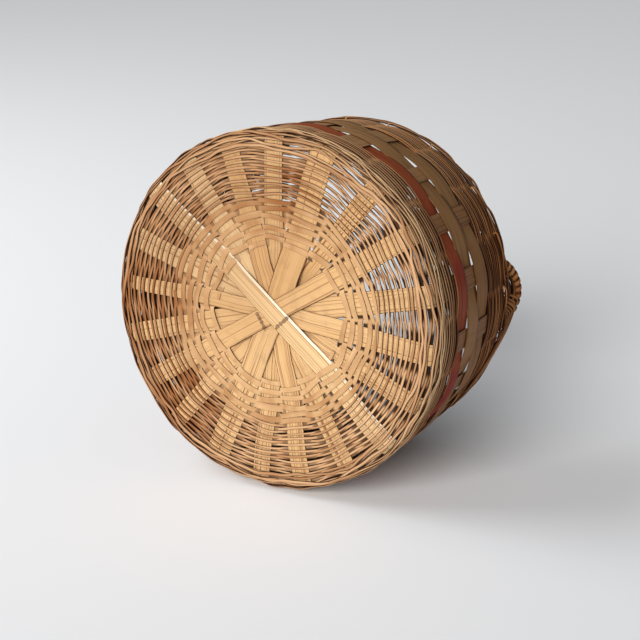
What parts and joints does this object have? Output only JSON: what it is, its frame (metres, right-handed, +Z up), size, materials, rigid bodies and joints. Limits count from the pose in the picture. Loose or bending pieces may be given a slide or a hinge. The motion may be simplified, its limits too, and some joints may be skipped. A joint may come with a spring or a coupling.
{
  "type": "carrying basket",
  "caption": "Round basket of woven wood splints with its base pushed up a little, dyed and plain bands round its wall, a hooped rim and small wrapped ear handles.",
  "frame": {"origin": "middle of the base, on the surface that the basket stands on", "axes": "+Z up the axis of the basket to its mouth, +X towards one of the ears, 7 degrees off its middle"},
  "size_m": [0.3292, 0.3292, 0.2143],
  "materials": {
    "pale_splint": "dry scraped ash splint, satin",
    "base_cane": "flat cane weavers, satin",
    "fine_strand": "fine split weavers, satin",
    "brown_strand": "aged brown split weavers, satin",
    "red_splint": "splint dyed red, faded in places",
    "tan_splint": "aged grey-brown splint, satin",
    "ear_rod": "bent wooden rod, satin",
    "ear_wrap": "brown strip wound round the rod"
  },
  "bodies": {
    "root": {"splint_01": "pale_splint", "splint_02": "pale_splint", "splint_03": "pale_splint", "splint_04": "pale_splint", "splint_05": "pale_splint", "splint_06": "pale_splint", "splint_07": "pale_splint", "splint_08": "pale_splint", "splint_09": "pale_splint", "splint_10": "pale_splint", "base_cane_a": "base_cane", "base_cane_b": "base_cane", "base_strand_a": "fine_strand", "base_strand_b": "fine_strand", "heel_strand_a": "brown_strand", "heel_strand_b": "brown_strand", "wall_strand_a": "brown_strand", "wall_strand_b": "brown_strand", "red_band": "red_splint", "lower_tan_band": "tan_splint", "upper_tan_band": "tan_splint", "rim_hoop_outer": "brown_strand", "rim_hoop_inner": "brown_strand", "rim_lashing": "brown_strand", "right_ear": "ear_rod", "left_ear": "ear_rod", "right_ear_wrap": "ear_wrap", "left_ear_wrap": "ear_wrap"}
  },
  "joints": []
}
